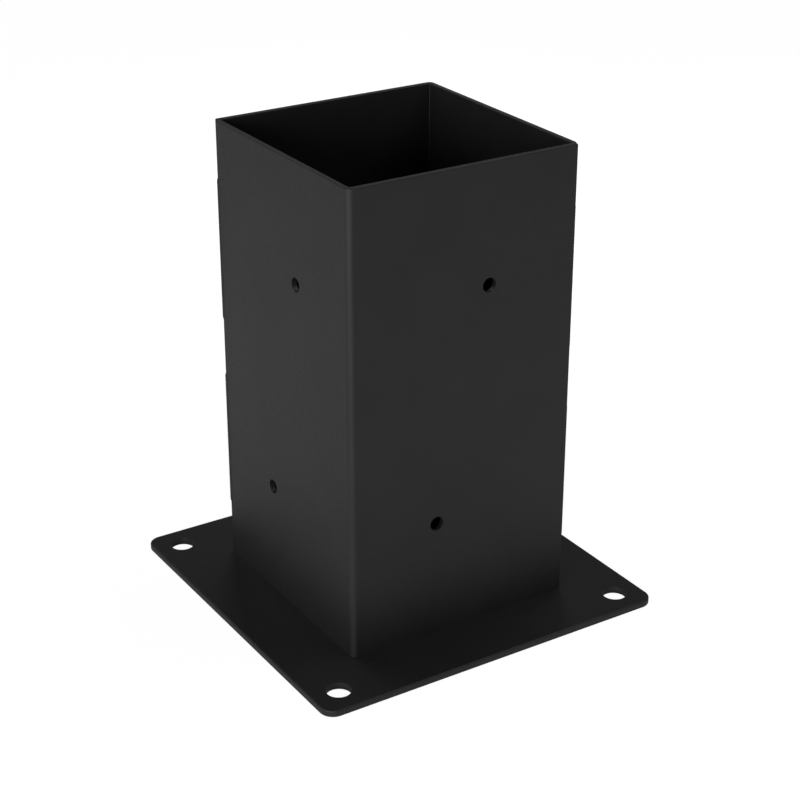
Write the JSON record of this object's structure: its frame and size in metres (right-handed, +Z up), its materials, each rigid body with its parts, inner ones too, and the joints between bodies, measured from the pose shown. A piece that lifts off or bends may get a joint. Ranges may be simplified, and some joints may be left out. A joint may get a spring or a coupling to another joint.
{
  "type": "post base",
  "caption": "Square steel sleeve, open at the top, welded to a flat plate with anchor holes. It bolts to concrete and holds the foot of a timber post.",
  "frame": {"origin": "middle of the plate's underside", "axes": "+Z up along the post, X and Y square to the sleeve's walls, -Y to the front"},
  "size_m": [0.2256, 0.2256, 0.2812],
  "materials": {
    "powder_coat": "satin black, fine texture"
  },
  "bodies": {
    "root": {"base_plate": "powder_coat", "front_shell": "powder_coat", "rear_shell": "powder_coat", "back_left_seam_weld_1": "powder_coat", "front_right_seam_weld_1": "powder_coat", "back_left_seam_weld_2": "powder_coat", "front_right_seam_weld_2": "powder_coat", "front_foot_weld": "powder_coat", "left_foot_weld": "powder_coat", "back_foot_weld": "powder_coat", "right_foot_weld": "powder_coat"}
  },
  "joints": []
}
